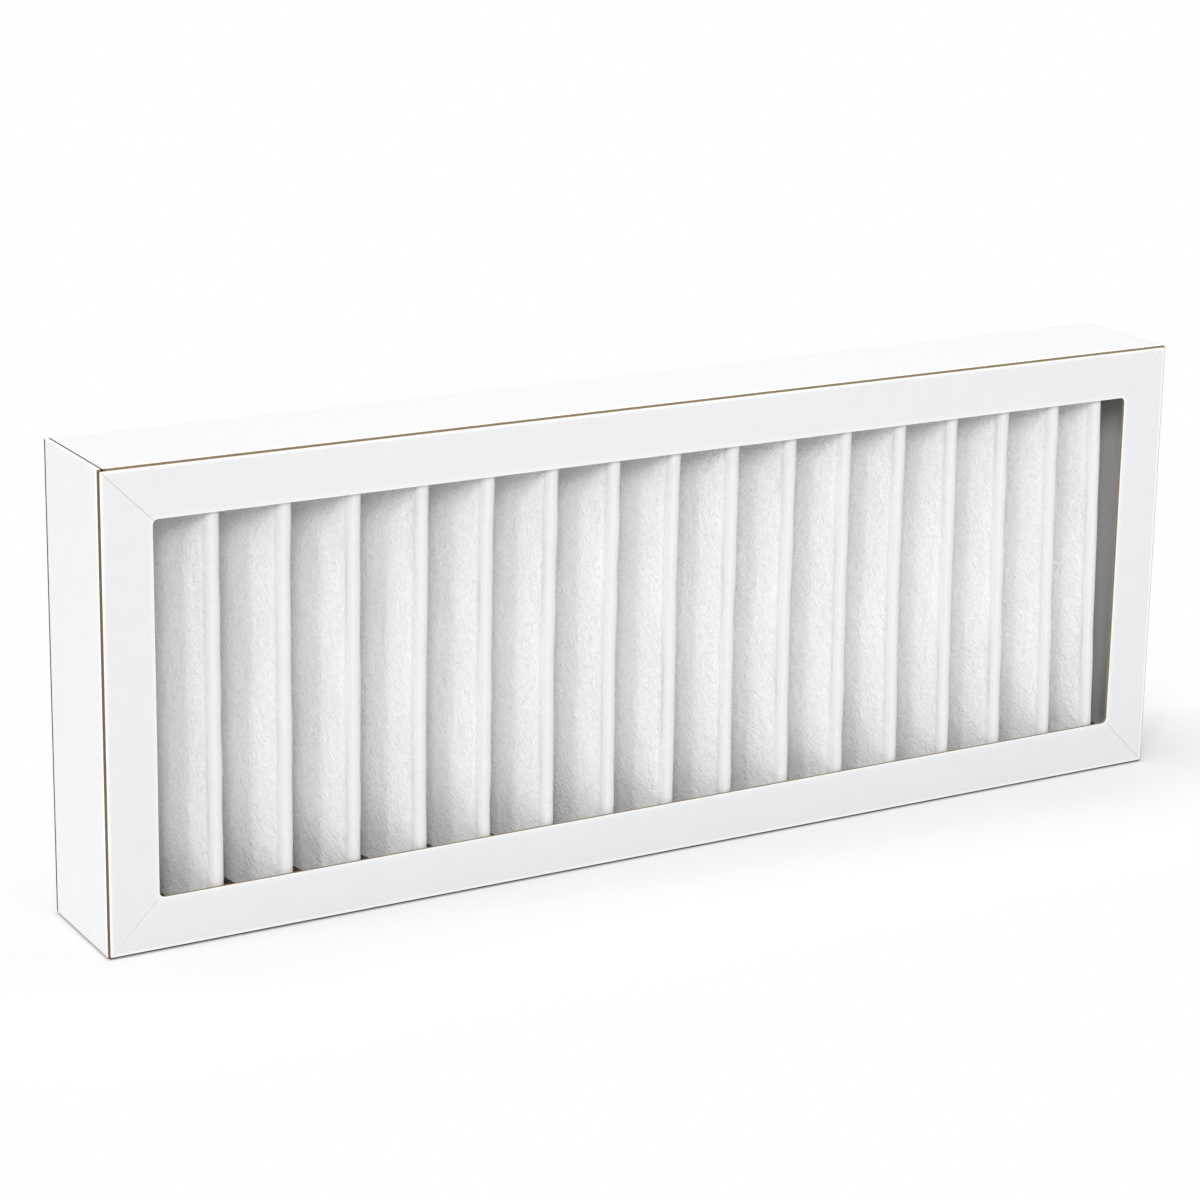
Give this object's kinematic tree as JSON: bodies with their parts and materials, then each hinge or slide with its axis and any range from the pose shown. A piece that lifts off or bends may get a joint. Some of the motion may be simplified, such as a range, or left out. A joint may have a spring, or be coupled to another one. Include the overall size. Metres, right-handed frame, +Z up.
{
  "type": "ventilation filter",
  "caption": "Pleated fleece air filter in a folded white card frame with a mitred flange round both open faces, for a ventilation unit's filter slot.",
  "frame": {"origin": "under the middle of the frame, on the surface it stands on", "axes": "+X along the frame's length, to the right seen from the front; +Y from the front face to the back face; +Z up"},
  "size_m": [0.44, 0.049, 0.17],
  "materials": {
    "white_lined_board": "matte",
    "polyester_fleece": "matte",
    "sealant": "matte",
    "glue": "satin"
  },
  "bodies": {
    "root": {"card_frame": "white_lined_board", "tab_glue_film": "glue", "pleated_sheet": "polyester_fleece", "bottom_sealant_bed": "sealant", "top_sealant_bed": "sealant", "left_edge_bead": "sealant", "right_edge_bead": "sealant"}
  },
  "joints": []
}
